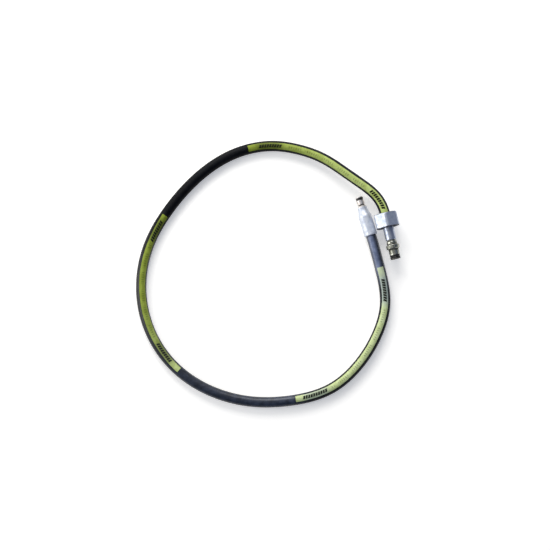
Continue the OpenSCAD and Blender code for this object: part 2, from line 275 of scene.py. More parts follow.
# %% Hose layers
HOSE_SIDES = 40
INNER_SKIP = 8
RIB_PITCH, RIB_DEPTH, RIB_SLANT = 2.4 * MM, 0.07 * MM, 2
LINE_STATIONS = np.array([0, 60, 130, 185, 325, 360, 400, 425, 460, 520, 600, 740, 800, 860, 910]) * MM
LINE_LEAN = np.radians([2, 14, 10, 4, 13, 19, 18, 21, 21, 12, 8, 8, 10, 2, 0])


def hose_walls(line, around):
    """Directions from the centreline to the wall: cos(angle) * side + sin(angle) * up, where side
    points to the loop's inside and up is square to it and to the line."""
    tangent = unit(np.gradient(line, axis=0))
    side = unit(np.cross(straight_up, tangent))
    up = np.cross(tangent, side)
    return np.cos(around)[None, :, None] * side[:, None] + np.sin(around)[None, :, None] * up[:, None]


def every(count, step):
    """Every step-th row, and the last."""
    return np.unique(np.append(np.arange(0, count, step), count - 1))


def hose_layer(name, slot, node, r_out, r_in, step, relief=None, first=-math.inf):
    """One layer: out along the outer wall, with every step-th ring from distance `first` on, and back
    along the inner wall, which has fewer. relief(along, angle) is how far the outer wall falls below
    its radius."""
    keep = along_hose >= first - 1e-9
    line, along = centre_line[keep], along_hose[keep]
    around = np.linspace(-math.pi / 2, 1.5 * math.pi, HOSE_SIDES, endpoint=False)
    out = hose_walls(line, around)
    rows, inner_rows = every(len(line), step), every(len(line), step * INNER_SKIP)[::-1]
    fall = relief(along[rows, None], around[None, :]) if relief else np.zeros((len(rows), HOSE_SIDES))
    outer = line[rows, None] + (r_out - fall)[..., None] * out[rows]
    inner = line[inner_rows, None] + r_in * out[inner_rows]
    points = np.concatenate([outer, inner])
    u_column = np.concatenate([along[rows], along[inner_rows], along[:1]])
    angle = np.append(around, 1.5 * math.pi)
    middle = math.pi / 2 - np.interp(u_column, LINE_STATIONS, LINE_LEAN)
    v = (angle[None, :] - middle[:, None]) / (2 * math.pi)
    u = np.repeat(u_column[:, None], len(angle), axis=1)
    return grid_piece(name, points, u, v, slot, "hose", node)


def wrap_ribs(along, angle):
    """Depth of the cloth's mark: a cosine across the hose, slanted by RIB_SLANT ribs a turn."""
    return RIB_DEPTH * (0.5 + 0.5 * np.cos(2 * math.pi * along / RIB_PITCH + RIB_SLANT * angle))


def plaited(along, angle):
    """Depth of the braid's mark: two families of helical strands, the product of their waves."""
    lay, strands, depth = 28 * MM, 12, 0.12 * MM
    turn = 2 * math.pi * along / lay
    return depth * (0.5 + 0.5 * np.cos(strands * (angle + turn)) * np.cos(strands * (angle - turn)))


cover = hose_layer("cover", "cover_rubber", "hose_cover", HOSE_D / 2, BRAID_D / 2, 1, wrap_ribs, first=0.0)
braid = hose_layer("braid", "braid_wire", "hose_braid", BRAID_D / 2, LINER_D / 2, 2, plaited)
liner = hose_layer("liner", "liner_rubber", "hose_liner", LINER_D / 2, HOSE_BORE / 2, 4)

# %% [markdown]
# ## Turned parts
#
# Sleeves, stems and rings come off a lathe, so each is half an outline and a turn. Real turned edges
# are never dead sharp: each corner of the outline becomes a small arc, a curve drawn between two
# points a little before and after the corner. A few extra points on the straights keep the shading
# even. The outline may also change round the part, which is how a hexagon, a crimp or a thread comes
# out of the same helper.

# %% Lathe helper
CIRCLE_COLUMNS, SLEEVE_COLUMNS, NUT_COLUMNS = 128, 256, 288
SAME_R = 0.05 * MM


def softened(outline, fillet, steps=5):
    """A closed outline of (distance along the axis, radius) with every corner rounded. The arc at
    corner P runs from A to B, fillet before and after it, as (1-s)^2*A + 2*s*(1-s)*P + s^2*B."""
    before = np.roll(outline, 1, 0) - outline
    after = np.roll(outline, -1, 0) - outline
    near = np.linalg.norm(before, axis=1), np.linalg.norm(after, axis=1)
    reach = np.minimum(fillet, 0.4 * np.minimum(*near))[:, None]
    a, b = outline + reach * unit(before), outline + reach * unit(after)
    s = np.linspace(0, 1, steps)[None, :, None]
    arcs = (1 - s) ** 2 * a[:, None] + 2 * s * (1 - s) * outline[:, None] + s ** 2 * b[:, None]
    legs = np.roll(a, -1, 0) - b
    close = np.minimum(0.1 * MM / np.maximum(np.linalg.norm(legs, axis=1), 1e-9), 0.2)
    share = np.stack([close, 0 * close + 0.25, 0 * close + 0.5, 0 * close + 0.75, 1 - close], axis=1)
    straights = b[:, None] + share[..., None] * legs[:, None]
    return np.concatenate([arcs, straights], axis=1).reshape(-1, 2)


def hollows(outline, reach=2 * MM):
    """How deep each point of an outline lies beside a shoulder, from 0 to 1. A shoulder `apart` away
    counts for (its radius - this radius) * (1 - apart / reach), and 0.3 to 0.7 mm is the scale."""
    along, radius = outline.T
    near = np.clip(1 - np.abs(along[:, None] - along) / reach, 0, 1)
    drop = ((radius - radius[:, None]) * near).max(axis=1)
    return np.clip((drop - 0.3 * MM) / (0.4 * MM), 0, 1)


def turned(name, slot, node, outline, place, columns=CIRCLE_COLUMNS, shape=None, body="hose",
           all_hollow_from=math.inf):
    """Carries an outline round an axis. shape(along, radius, angle) gives the radius where it changes
    round the part. The UV is the distance along the outline, and the share of a turn. Beyond the
    distance given last, the part counts as all hollow, so that stretch takes the dark tone that the
    metal finishes paint into the hollows as shade."""
    along, radius = outline[:, :1], outline[:, 1:]
    angle = np.linspace(0, 2 * math.pi, columns, endpoint=False)[None, :]
    r = shape(along, radius, angle) if shape else radius + 0 * angle
    points = place(r * np.cos(angle), r * np.sin(angle), along + 0 * angle)
    closed = np.vstack([outline, outline[:1]])
    u = np.repeat(length_along(closed)[:, None], columns + 1, axis=1)
    v = np.repeat(np.linspace(0, 1, columns + 1)[None, :], len(closed), axis=0)
    hollow = np.maximum(hollows(outline)[:, None], along > all_hollow_from)
    return grid_piece(name, points, u, v, slot, body, node, hollow)


def on_plug(x, y, z):
    """The plug's axis is Y, with z measured out of it."""
    return np.stack([x, z, -y], axis=-1)


def on_union(x, y, z):
    """The union's axis, turned UNION_TURN from straight back, with z from the nut's rear face."""
    c, s = math.cos(UNION_TURN), math.sin(UNION_TURN)
    return union_at(0) + np.stack([c * x - s * z, -s * x - c * z, y], axis=-1)


# %% [markdown]
# ## The crimped sleeves
#
# Each end of the hose sits in a steel sleeve that eight dies press inwards, all at once. The dies
# leave eight broad flats with a fine ridge between each two. Inside, ribs bite into the rubber, and a
# lip drops into a groove of the stem, so that neither hose nor sleeve can pull off. The plug's sleeve
# narrows to its nose, and the press rounds that cone at both ends. The sizes repeat those of the
# solids.

# %% Sizes of the fittings
EDGE, TIP_EDGE, SEAT_GAP, LOCK_W, LOCK_DEPTH = 0.5 * MM, 0.4 * MM, 0.02 * MM, 2.4 * MM, 0.6 * MM
STEM_BORE_R, BARB_R, BARB_DEPTH, BARB_PITCH = 2 * MM, 3.35 * MM, 0.4 * MM, 3 * MM
RIB_IN, RIB_STEP = 0.3 * MM, 3.8 * MM
PLUG_NOSE, PLUG_CONE, PLUG_FULL, PLUG_STEP = -12.6 * MM, -18.2 * MM, -22.4 * MM, -23.4 * MM
PLUG_SLEEVE_R, PLUG_NOSE_R, PLUG_STEM_R = 7.9 * MM, 5.8 * MM, 4.1 * MM
PLUG_LOCK, PLUG_TAIL, UNION_TAIL = PLUG_CONE + 1.2 * MM, -45.6 * MM, 6 * MM
UNION_STEP, UNION_FRONT = 26.4 * MM, 32.4 * MM
UNION_SLEEVE_R, UNION_STEM_R = 6.35 * MM, 4.75 * MM
UNION_LOCK = UNION_STEP + 1.6 * MM
PLUG_PRESSED, UNION_PRESSED, PRESS_MARGIN, RIDGE_WIDTH = 0.06 * MM, 0.04 * MM, 2 * MM, 0.3 * MM


# %% Ribs, barbs and the crimp
def ribs(radius, start, length):
    """Outline points of the sleeve's inner ribs, from the end at `start` back over `length`."""
    first = start - np.arange(1, int(length / RIB_STEP)) * RIB_STEP
    steps = np.array([[0, 0], [-1, -1], [-3, -1], [-4, 0]]) * RIB_IN
    return (np.stack([first, 0 * first + radius], axis=1)[:, None] + steps).reshape(-1, 2)


def barbs(start, end):
    """Outline points of the stem's barbed tail: each barb slopes up over 3/4 of its pitch and ends in a
    step."""
    first = start + np.arange(int((end - start) / BARB_PITCH)) * BARB_PITCH
    steps = np.array([[0, -BARB_DEPTH], [0.75 * BARB_PITCH, 0], [0.9 * BARB_PITCH, 0],
                      [0.9 * BARB_PITCH, -BARB_DEPTH]])
    return (np.stack([first, 0 * first + BARB_R], axis=1)[:, None] + steps).reshape(-1, 2)


def lock_lip(radius, start):
    """Outline points of the sleeve's lip, which fills the stem's lock groove but for a small gap."""
    far, near, low = start + LOCK_W - SEAT_GAP, start + SEAT_GAP, radius - LOCK_DEPTH
    return [[far, radius], [far, low], [near, low], [near, radius]]


def crimped(start, end, outer, depth):
    """Radius of a crimped sleeve: pressed in by depth between start and end, save for eight ridges that
    fall off as exp(-(distance / RIDGE_WIDTH)^2) on both sides."""
    def shape(along, radius, angle):
        eighth = math.pi / 4
        off = (np.mod(angle + eighth / 2, eighth) - eighth / 2) * outer
        ridge = np.exp(-(off / RIDGE_WIDTH) ** 2)
        ease = np.clip((along - start) / MM, 0, 1) * np.clip((end - along) / MM, 0, 1)
        outside = radius > outer - SAME_R
        return radius - outside * depth * ease * (1 - ridge)
    return shape


def eased_taper(outline, reach):
    """Turns the plug sleeve's cone into one soft curve, which starts and ends `reach` beyond the cone:
    wide - (wide - narrow) * (3*s^2 - 2*s^3), with s the share of the way."""
    along, radius = outline.T
    share = np.clip((along - PLUG_FULL + reach) / (PLUG_CONE - PLUG_FULL + 2 * reach), 0, 1)
    eased = PLUG_SLEEVE_R - (PLUG_SLEEVE_R - PLUG_NOSE_R) * (3 * share ** 2 - 2 * share ** 3)
    wall = np.interp(along, [PLUG_FULL, PLUG_CONE], [PLUG_SLEEVE_R, PLUG_NOSE_R])
    on_taper = (radius > wall - 0.3 * MM) & (share > 0) & (share < 1)
    return np.stack([along, np.where(on_taper, eased, radius)], axis=1)


# %% Sleeves
TAPER_REACH = 3 * MM
plug_lip_r = PLUG_STEM_R + SEAT_GAP
plug_outline = np.array([
    [PLUG_MOUTH, HOSE_D / 2], [PLUG_MOUTH, PLUG_SLEEVE_R - EDGE], [PLUG_MOUTH + EDGE, PLUG_SLEEVE_R],
    [PLUG_FULL - TAPER_REACH, PLUG_SLEEVE_R], [PLUG_FULL, PLUG_SLEEVE_R], [PLUG_CONE, PLUG_NOSE_R],
    [PLUG_CONE + TAPER_REACH, PLUG_NOSE_R], [PLUG_NOSE - EDGE / 2, PLUG_NOSE_R],
    [PLUG_NOSE, PLUG_NOSE_R - EDGE / 2], [PLUG_NOSE, plug_lip_r], *lock_lip(plug_lip_r, PLUG_LOCK),
    [PLUG_STEP, plug_lip_r], [PLUG_STEP, HOSE_D / 2], *ribs(HOSE_D / 2, PLUG_STEP, PLUG_STEP - PLUG_MOUTH)])
turned("plug_sleeve", "plug_zinc", "plug_ferrule",
       eased_taper(softened(plug_outline, fillet=0.35 * MM), TAPER_REACH), on_plug, SLEEVE_COLUMNS,
       crimped(PLUG_MOUTH + PRESS_MARGIN, PLUG_FULL - PRESS_MARGIN, PLUG_SLEEVE_R, PLUG_PRESSED))

union_lip_r = UNION_STEM_R + SEAT_GAP
union_outline = np.array([
    [UNION_MOUTH, BRAID_D / 2], [UNION_MOUTH, UNION_SLEEVE_R - EDGE], [UNION_MOUTH + EDGE, UNION_SLEEVE_R],
    [UNION_FRONT - EDGE, UNION_SLEEVE_R], [UNION_FRONT, UNION_SLEEVE_R - EDGE],
    [UNION_FRONT, union_lip_r], *lock_lip(union_lip_r, UNION_LOCK),
    [UNION_STEP, union_lip_r], [UNION_STEP, BRAID_D / 2],
    *ribs(BRAID_D / 2, UNION_STEP, UNION_STEP - UNION_MOUTH)])
turned("union_sleeve", "union_zinc", "union_ferrule", softened(union_outline, fillet=0.3 * MM), on_union,
       SLEEVE_COLUMNS, crimped(UNION_MOUTH + PRESS_MARGIN, UNION_STEP, UNION_SLEEVE_R, UNION_PRESSED))

# %% [markdown]
# ## The stems
#
# A stem carries the fluid through its bore. Its barbed tail sits inside the hose, and its front end
# is the part that seals in a socket or port: a groove for a rubber ring, and on the plug a second
# groove where a spring clip drops in. The union's stem has a collar, which the nut pulls on.

# %% Stems
PLUG_COLLAR_R, PLUG_COLLAR, PLUG_CLIP, CLIP_R = 5.45 * MM, -11 * MM, -9.3 * MM, 3.6 * MM
PLUG_SPIGOT_R, PLUG_RING_W, PLUG_LAND = 4.35 * MM, 1.6 * MM, 1.1 * MM
UNION_SHANK, UNION_COLLAR, UNION_SPIGOT, UNION_TIP = 34 * MM, 38.2 * MM, 43.2 * MM, 55.1 * MM
RELIEF_R, SHANK_R, COLLAR_R, UNION_SPIGOT_R = 5.1 * MM, 6.15 * MM, 7.7 * MM, 5.9 * MM
UNION_RING_W, UNION_LAND = 2 * MM, 1.2 * MM
SQUEEZE, SLOT_REST, BACKUP_SHARE, STEM_FILLET = 0.15 * MM, 0.4 * MM, 0.6, 0.15 * MM


def slot_floor(spigot_r, ring_w):
    """Radius of the floor of a ring groove, which lets the ring stand SQUEEZE proud of the spigot."""
    return spigot_r + SQUEEZE - ring_w


def slot_back(front, ring_w):
    """Inner side of a ring groove whose outer side is at `front`."""
    return front - ring_w * (1 + BACKUP_SHARE) - SLOT_REST


def groove(back, front, radius, floor):
    """Outline points of a square groove, from its inner side to its outer side."""
    return [[back, radius], [back, floor], [front, floor], [front, radius]]


plug_slot = slot_floor(PLUG_SPIGOT_R, PLUG_RING_W)
plug_stem_outline = np.array([
    [PLUG_TAIL, STEM_BORE_R], *barbs(PLUG_TAIL, PLUG_STEP), [PLUG_STEP, BARB_R - BARB_DEPTH],
    [PLUG_STEP, PLUG_STEM_R],
    *groove(PLUG_LOCK, PLUG_LOCK + LOCK_W, PLUG_STEM_R, PLUG_STEM_R - LOCK_DEPTH),
    [PLUG_NOSE, PLUG_STEM_R], [PLUG_NOSE, PLUG_COLLAR_R], [PLUG_COLLAR - EDGE, PLUG_COLLAR_R],
    [PLUG_COLLAR, PLUG_COLLAR_R - EDGE], [PLUG_COLLAR, CLIP_R], [PLUG_CLIP, CLIP_R],
    [PLUG_CLIP, PLUG_SPIGOT_R - EDGE / 2], [PLUG_CLIP + EDGE / 2, PLUG_SPIGOT_R],
    *groove(slot_back(-PLUG_LAND, PLUG_RING_W), -PLUG_LAND, PLUG_SPIGOT_R, plug_slot),
    [-TIP_EDGE, PLUG_SPIGOT_R], [0, PLUG_SPIGOT_R - TIP_EDGE], [0, STEM_BORE_R + EDGE],
    [-EDGE, STEM_BORE_R]])
turned("plug_body", "plug_steel", "plug_stem", softened(plug_stem_outline, STEM_FILLET), on_plug)

union_slot = slot_floor(UNION_SPIGOT_R, UNION_RING_W)
union_land = UNION_TIP - UNION_LAND
union_stem_outline = np.array([
    [UNION_TAIL, STEM_BORE_R], *barbs(UNION_TAIL, UNION_STEP), [UNION_STEP, BARB_R - BARB_DEPTH],
    [UNION_STEP, UNION_STEM_R],
    *groove(UNION_LOCK, UNION_LOCK + LOCK_W, UNION_STEM_R, UNION_STEM_R - LOCK_DEPTH),
    [UNION_FRONT, UNION_STEM_R], [UNION_FRONT, RELIEF_R], [UNION_SHANK, RELIEF_R],
    [UNION_SHANK, SHANK_R - EDGE / 2], [UNION_SHANK + EDGE / 2, SHANK_R], [UNION_COLLAR, SHANK_R],
    [UNION_COLLAR, COLLAR_R - EDGE / 2], [UNION_COLLAR + EDGE / 2, COLLAR_R],
    [UNION_SPIGOT - 2 * EDGE, COLLAR_R], [UNION_SPIGOT, COLLAR_R - 2 * EDGE],
    [UNION_SPIGOT, UNION_SPIGOT_R],
    *groove(slot_back(union_land, UNION_RING_W), union_land, UNION_SPIGOT_R, union_slot),
    [UNION_TIP - TIP_EDGE, UNION_SPIGOT_R], [UNION_TIP, UNION_SPIGOT_R - TIP_EDGE],
    [UNION_TIP, STEM_BORE_R + 2 * EDGE], [UNION_TIP - 2 * EDGE, STEM_BORE_R]])
# Past its ring groove, the union's tip counts as all hollow and takes the same dark tone as the hollows.
turned("union_body", "stem_steel", "union_stem", softened(union_stem_outline, STEM_FILLET), on_union,
       all_hollow_from=union_land)

# %% [markdown]
# ## Seals
#
# An O-ring is a ring of round section. Moulds close around its widest line and leave a faint flash
# there. Behind each O-ring sits a harder backup ring, which stops the pressure from squeezing the
# soft one into the gap.

# %% Rings
def round_section(middle, centre_r, section_r, flash=0.03 * MM, spread=0.12, count=40):
    """Outline of an O-ring: a circle, with the mould's flash as a narrow rise at its widest line."""
    t = np.linspace(0, 2 * math.pi, count, endpoint=False)
    off_line = t - math.pi / 2
    rise = np.exp(-(np.sin(off_line) / spread) ** 2 / 2) * (np.cos(off_line) > 0)
    r = section_r - flash + flash * rise
    return np.stack([middle + r * np.cos(t), centre_r + r * np.sin(t)], axis=1)


ends = {
    "plug": (plug_slot, PLUG_SPIGOT_R, PLUG_RING_W, -PLUG_LAND, on_plug),
    "union": (union_slot, UNION_SPIGOT_R, UNION_RING_W, union_land, on_union)}
for end, (floor_r, spigot_r, ring_w, front, place) in ends.items():
    middle, centre_r = front - ring_w / 2 - SEAT_GAP, floor_r + SEAT_GAP + ring_w / 2
    section = round_section(middle, centre_r, ring_w / 2)
    turned(end + "_seal", "seal_rubber", end + "_o_ring", section, place)
for end, (floor_r, spigot_r, ring_w, front, place) in ends.items():
    low = slot_back(front, ring_w) + SEAT_GAP
    high = low + ring_w * BACKUP_SHARE
    square = np.array([[low, floor_r + SEAT_GAP], [low, spigot_r], [high, spigot_r],
                       [high, floor_r + SEAT_GAP]])
    section = softened(square, fillet=0.12 * MM)
    turned(end + "_backup", "backup_plastic", end + "_backup_ring", section, place)

# %% [markdown]
# ## The nut and its slip ring
#
# The nut is a hexagon with its corners turned round and both ends chamfered. Its radius is the
# smaller of two: that of the turned outline, and that of the hexagon, which is the distance across
# the flats over 2 cos(angle from the middle of the flat). A soft minimum rounds the edge where the
# two meet. Inside is a real thread: the groove's depth depends on where a point lies along the pitch
# once its share of a turn is taken off, which is what makes a helix.

# %% Slip ring and nut
REAR_WALL, SLIP_R, SLIP_W, SLIP_SEAT, RUN_GAP = 5 * MM, 8.8 * MM, 1.6 * MM, 0.8 * MM, 0.05 * MM
NUT_FLAT_R, NUT_CORNER_R, REAR_HOLE_R = 13.5 * MM, 14.9 * MM, 7.3 * MM
THREAD_R, RELIEF_BORE_R, THREAD_PITCH, THREAD_DEPTH = 10.2 * MM, 11.2 * MM, 1.5 * MM, 0.8 * MM
THREAD_POINTS = 78
NUT_TURN = math.radians(34)
FACE_R = NUT_FLAT_R - 0.4 * MM
CHAMFER = (NUT_CORNER_R - FACE_R) * math.tan(math.radians(30))
SHOULDER = REAR_WALL + SLIP_SEAT

ring_outline = np.array([
    [REAR_WALL, UNION_SLEEVE_R + RUN_GAP], [REAR_WALL, SLIP_R],
    [REAR_WALL + SLIP_W, SLIP_R], [REAR_WALL + SLIP_W, UNION_SLEEVE_R + RUN_GAP]])
turned("slip_ring", "slip_brass", "union_slip_ring", softened(ring_outline, fillet=0.15 * MM), on_union,
       body="slip_ring")

thread_start = SHOULDER + 2 * MM
thread_end = NUT_LEN - 2 * EDGE
thread_rows = np.linspace(thread_start, thread_end, THREAD_POINTS)[:, None]
before_thread = np.array([
    [EDGE, REAR_HOLE_R], [0, REAR_HOLE_R + EDGE], [0, FACE_R], [CHAMFER, NUT_CORNER_R],
    [NUT_LEN - CHAMFER, NUT_CORNER_R], [NUT_LEN, FACE_R], [NUT_LEN, THREAD_R + 2 * EDGE],
    [thread_end, THREAD_R], [thread_start, THREAD_R], [thread_start, RELIEF_BORE_R],
    [SHOULDER, RELIEF_BORE_R], [SHOULDER, SLIP_R + RUN_GAP],
    [REAR_WALL - SEAT_GAP, SLIP_R + RUN_GAP], [REAR_WALL - SEAT_GAP, REAR_HOLE_R]])
nut_outline = softened(before_thread, fillet=0.2 * MM)

# The thread needs many points along its bore, so they take the place of the few on its straight.
inward = 0.3 * MM
on_thread = ((nut_outline[:, 1] < THREAD_R + 1e-6) & (nut_outline[:, 0] > thread_start + inward)
             & (nut_outline[:, 0] < thread_end - inward))
start, stop = np.flatnonzero(on_thread)[[0, -1]]
nut_outline = np.vstack([
    nut_outline[:start], np.hstack([thread_rows[::-1][2:-2], 0 * thread_rows[2:-2] + THREAD_R]),
    nut_outline[stop + 1:]])


def nut_shape(along, radius, angle):
    """Soft minimum of the outline and the hexagon, (r^-p + h^-p)^(-1/p), and on the inner wall the
    deeper of the outline and the thread. Crest and root take 1/8 of the pitch each, a flank 3/8."""
    p = 160
    sixth = math.pi / 3
    off_flat = np.mod(angle - NUT_TURN, sixth) - sixth / 2
    hexagon = NUT_FLAT_R / np.cos(off_flat)
    outer = radius * (1 + (radius / hexagon) ** p) ** (-1 / p)
    place_in_pitch = np.mod(along / THREAD_PITCH - angle / (2 * math.pi), 1)
    flank = np.clip((np.abs(2 * place_in_pitch - 1) - 0.125) / 0.75, 0, 1)
    threaded = THREAD_R + THREAD_DEPTH * (1 - flank)
    on_bore = (radius > THREAD_R - SAME_R) & (radius < RELIEF_BORE_R + SAME_R)
    inside = on_bore & (along > thread_start - 1e-6)
    return np.where(inside, np.maximum(radius, threaded), outer)


turned("nut", "nut_zinc", "union_nut", nut_outline, on_union, NUT_COLUMNS, nut_shape, body="nut")

# %% [markdown]
# ## Tools for finishes
#
# A finish is a small graph of nodes. The helper below keeps the graphs short: it makes a node, sets
# its inputs, and hands back its output. Colours are written as they look on a screen, 0 to 255, and
# changed to the linear values that light adds up in.

# %% Graph helper
def screen(*rgb):
    """A screen colour as linear light: ((c + 0.055) / 1.055)^2.4 above the dark toe."""
    c = np.array(rgb) / 255
    linear = np.where(c > 0.04045, ((c + 0.055) / 1.055) ** 2.4, c / 12.92)
    return (*linear.tolist(), 1.0)


class Graph:
    """A node tree with short calls for the few kinds of node that these finishes use."""

    def __init__(self, tree):
        self.tree = tree

    def node(self, kind, inputs=None, **settings):
        made = self.tree.nodes.new(kind)
        for key, value in settings.items():
            setattr(made, key, value)
        for key, value in (inputs or {}).items():
            self.feed(made.inputs[key], value)
        return made

    def feed(self, socket, value):
        if isinstance(value, bpy.types.NodeSocket):
            self.tree.links.new(value, socket)
        else:
            socket.default_value = value

    def math(self, operation, a, b=0.0, clamp=False):
        return self.node("ShaderNodeMath", {0: a, 1: b}, operation=operation, use_clamp=clamp).outputs[0]

    def times(self, a, b, clamp=False):
        return self.math("MULTIPLY", a, b, clamp)

    def step(self, value, low, high):
        """0 below low and 1 above high, eased between them."""
        made = self.node("ShaderNodeMapRange", {"Value": value, "From Min": low, "From Max": high},
                         interpolation_type="SMOOTHSTEP")
        return made.outputs["Result"]

    def range(self, value, low, high):
        """A value from 0 to 1 stretched to run from low to high."""
        made = self.node("ShaderNodeMapRange", {"Value": value, "To Min": low, "To Max": high})
        return made.outputs["Result"]

    def mix(self, share, a, b, data_type="RGBA", kind="Color"):
        """a where share is 0 and b where it is 1. A mix node has sockets for every kind of data, so
        those of the right kind are picked by their identifiers."""
        made = self.node("ShaderNodeMix", data_type=data_type)
        sockets = {socket.identifier: socket for socket in (*made.inputs, *made.outputs)}
        for name, value in (("Factor_Float", share), ("A_" + kind, a), ("B_" + kind, b)):
            self.feed(sockets[name], value)
        return sockets["Result_" + kind]

    def mix_value(self, share, a, b):
        return self.mix(share, a, b, "FLOAT", "Float")

    def tones(self, cloud, dark, light):
        """Two screen colours mixed by a cloudy value."""
        return self.mix(cloud, screen(*dark), screen(*light))

    def ramp(self, share, stops):
        """A colour ramp from stops of (share, colour), the first of them at 0."""
        made = self.node("ShaderNodeValToRGB", {"Fac": share})
        elements = made.color_ramp.elements
        elements.remove(elements[1])
        for place, colour in stops:
            element = elements.new(place) if place else elements[0]
            element.color = (*colour, 1)
        return made.outputs["Color"]

    def noise(self, vector, scale, detail=3.0, rough=0.55):
        made = self.node("ShaderNodeTexNoise", {"Vector": vector, "Scale": scale, "Detail": detail,
                                                "Roughness": rough})
        return made.outputs["Fac"]

    def place(self, name="Object"):
        return self.node("ShaderNodeTexCoord").outputs[name]

    def uv(self):
        """The piece's own UV as two values."""
        made = self.node("ShaderNodeUVMap", uv_map="surface")
        parts = self.node("ShaderNodeSeparateXYZ", {"Vector": made.outputs["UV"]})
        return parts.outputs["X"], parts.outputs["Y"]

    def stretched(self, x, y, x_scale, y_scale):
        """Two values as a vector for a noise, each times its own scale."""
        scaled = {"X": self.times(x, x_scale), "Y": self.times(y, y_scale)}
        return self.node("ShaderNodeCombineXYZ", scaled).outputs["Vector"]

    def put(self, group, **inputs):
        made = self.node("ShaderNodeGroup", node_tree=group)
        for key, value in inputs.items():
            self.feed(made.inputs[key.replace("_", " ")], value)
        return made.outputs


# %% Materials and groups
finishes = {}


def finish(name, **sockets):
    """A material with one Principled shader whose plain values are set on its own sockets. It is kept
    under its name, because the solids bring materials of the same names."""
    material = finishes[name] = bpy.data.materials.new(name)
    material.use_nodes = True
    shader = material.node_tree.nodes["Principled BSDF"]
    for key, value in sockets.items():
        shader.inputs[key.replace("_", " ")].default_value = value
    return Graph(material.node_tree), shader


def bump(graph, shader, height, strength, distance):
    """Feeds a height to the shader's normal."""
    made = graph.node("ShaderNodeBump", {"Height": height, "Strength": strength, "Distance": distance})
    graph.feed(shader.inputs["Normal"], made.outputs["Normal"])


def new_group(name, inputs, output):
    """An empty node group with named inputs, each with its usual value, and one named output."""
    group = bpy.data.node_groups.new(name, "ShaderNodeTree")
    for label, value in inputs.items():
        socket = group.interface.new_socket(label, in_out="INPUT", socket_type="NodeSocketFloat")
        socket.default_value = value
    group.interface.new_socket(output, in_out="OUTPUT", socket_type="NodeSocketFloat")
    graph = Graph(group)
    return group, graph, graph.node("NodeGroupInput").outputs, graph.node("NodeGroupOutput").inputs


# %% [markdown]
# ## Effects that several finishes share
#
# Four effects come back in every metal. Edges are rubbed bright, but not evenly, so the stored edge
# value is broken up by noise. The hollows beside shoulders get a dark tone, which is painted shade,
# and a higher roughness. A lathe tool leaves fine lines round a part, which are noise stretched right
# round the turn. And plating is never one tone, so a soft cloudy value shifts its colour and
# roughness. Each is a node group, built once.

# %% Shared effects
def make_mask(name, attribute, amount, scale, detail, low, high, least):
    """Mask: a stored attribute, which patches of noise bring down to the share `least`. The patches
    begin where the noise is under high, and are full where it is under low."""
    group, g, given, out = new_group(name, {"Amount": amount, "Patch Scale": scale}, "Mask")
    stored = g.node("ShaderNodeAttribute", attribute_name=attribute).outputs["Fac"]
    patches = g.step(g.noise(g.place(), given["Patch Scale"], detail), low, high)
    uneven = g.times(stored, g.range(patches, least, 1.0))
    g.feed(out["Mask"], g.times(uneven, given["Amount"], clamp=True))
    return group


worn_edges = make_mask("worn_edges", "edge", 0.7, 900.0, 2.0, low=0.3, high=0.6, least=0.0)
# The hollow mask paints shade: the metal finishes darken the hollows beside shoulders with it.
hollow_shade = make_mask("hollow_shade", "hollow", 0.8, 500.0, 3.0, low=0.25, high=0.65, least=0.75)

# Height: noise that varies quickly along the outline and hardly at all round the turn.
lathe_lines, g, given, out = new_group("lathe_lines", {"Lines a Metre": 9000.0, "Wobble": 1.5}, "Height")
lines = g.stretched(*g.uv(), given["Lines a Metre"], given["Wobble"])
g.feed(out["Height"], g.noise(lines, 1.0, 2.0))

# Value: soft cloudy noise with fine specks over it.
clouds, g, given, out = new_group(
    "clouds", {"Scale": 220.0, "Speck Scale": 2600.0, "Specks": 0.25}, "Value")
broad = g.noise(g.place(), given["Scale"], 4.0, 0.6)
fine = g.noise(g.place(), given["Speck Scale"], 2.0)
specks = g.times(g.math("SUBTRACT", fine, 0.5), given["Specks"])
g.feed(out["Value"], g.step(g.math("ADD", broad, specks), 0.3, 0.7))

# %% [markdown]
# ## Plated and bare metal
#
# Zinc plate is a soft bluish white, a little cloudy, and brighter where it is rubbed. The stems have
# a yellow passivation that has gone brownish grey. One recipe serves all of them: two tones mixed by
# the clouds, a dark painted shade in the hollows, a third tone on worn edges, and lathe lines for the
# bump.

# %% Metal finishes
HOLLOW_SHADE_TONE, HOLLOW_ROUGH, FINE_RELIEF = (34, 30, 26), 0.7, 0.02 * MM


def metal(name, light, dark, rubbed, rough, lines=0.35, wear=0.7, cloud_scale=220.0, metallic=1.0,
          hollow_darkening=0.9):
    """Metal with two cloudy tones, rubbed edges, a dark painted shade in the hollows, and lathe lines."""
    g, shader = finish(name, Metallic=metallic)
    cloud = g.put(clouds, Scale=cloud_scale)["Value"]
    edge = g.put(worn_edges, Amount=wear)["Mask"]
    # Painted shade: the hollows take a dark tone and a higher roughness.
    shade_in_hollow = g.put(hollow_shade, Amount=hollow_darkening)["Mask"]
    tone = g.mix(shade_in_hollow, g.tones(cloud, dark, light), screen(*HOLLOW_SHADE_TONE))
    clean_edge = g.times(edge, g.range(shade_in_hollow, 1.0, 0.4))
    g.feed(shader.inputs["Base Color"], g.mix(clean_edge, tone, screen(*rubbed)))
    g.feed(shader.inputs["Roughness"], g.mix_value(shade_in_hollow, g.range(cloud, rough[1], rough[0]), HOLLOW_ROUGH))
    bump(g, shader, g.put(lathe_lines)["Height"], lines, FINE_RELIEF)


